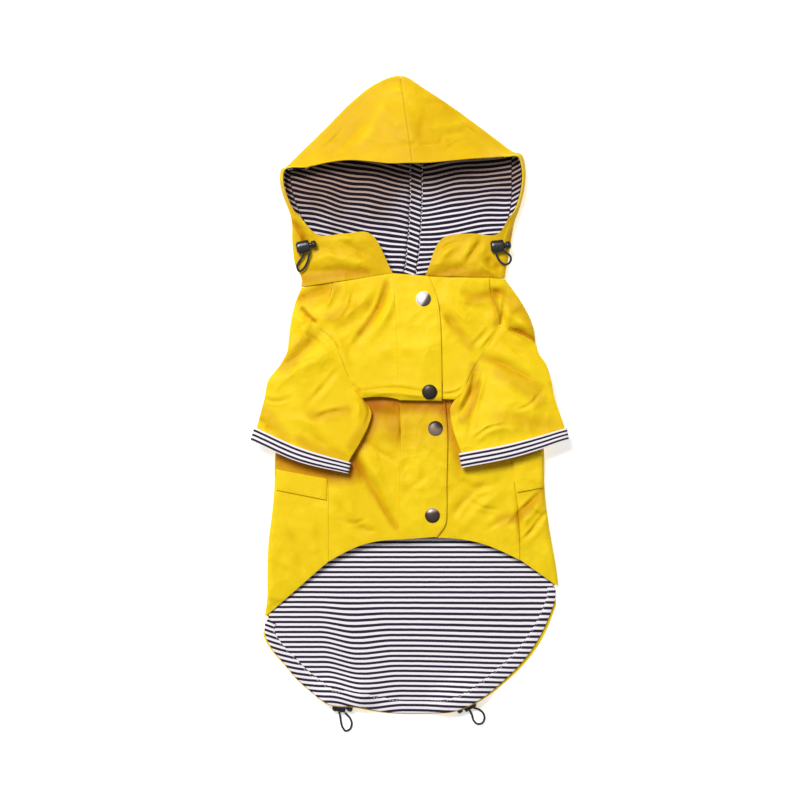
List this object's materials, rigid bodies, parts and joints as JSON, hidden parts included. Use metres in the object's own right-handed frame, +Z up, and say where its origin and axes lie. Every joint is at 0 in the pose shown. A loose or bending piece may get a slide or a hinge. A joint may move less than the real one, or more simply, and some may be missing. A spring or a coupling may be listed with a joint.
{
  "type": "dog raincoat",
  "caption": "Hooded dog raincoat in coated cloth laid flat, with short sleeves, snap front, pocket flaps, striped lining and drawcord locks.",
  "frame": {"origin": "the middle of the garment's outline on the surface it lies on, without the cord locks and loops", "axes": "+Z up from the surface, through the belly side; +Y towards the hood; +X to the right as seen from above"},
  "size_m": [0.3186, 0.6577, 0.038],
  "materials": {
    "shell_cloth": "coated, satin",
    "striped_lining": "fine dark stripes on white, matt",
    "snap_metal": "gunmetal, polished",
    "lock_plastic": "semi-gloss",
    "elastic_cord": "braided, matt"
  },
  "bodies": {
    "root": {"back_panel": "shell_cloth", "back_lining": "striped_lining", "front_left": "shell_cloth", "front_right": "shell_cloth", "placket": "shell_cloth", "hood_left": "shell_cloth", "hood_right": "shell_cloth", "hood_lining_left": "striped_lining", "hood_lining_right": "striped_lining", "hood_lining_strip": "striped_lining", "sleeve_left": "shell_cloth", "sleeve_right": "shell_cloth", "cuff_left": "striped_lining", "cuff_right": "striped_lining", "pocket_flap_left": "shell_cloth", "pocket_flap_right": "shell_cloth", "snap_1": "snap_metal", "snap_2": "snap_metal", "snap_3": "snap_metal", "snap_4": "snap_metal", "cord_lock_hood_left": "lock_plastic", "cord_lock_hood_left_button": "lock_plastic", "cord_loop_hood_left": "elastic_cord", "cord_lock_hood_right": "lock_plastic", "cord_lock_hood_right_button": "lock_plastic", "cord_loop_hood_right": "elastic_cord", "cord_lock_hem_left": "lock_plastic", "cord_lock_hem_left_button": "lock_plastic", "cord_loop_hem_left": "elastic_cord", "cord_lock_hem_right": "lock_plastic", "cord_lock_hem_right_button": "lock_plastic", "cord_loop_hem_right": "elastic_cord"}
  },
  "joints": []
}
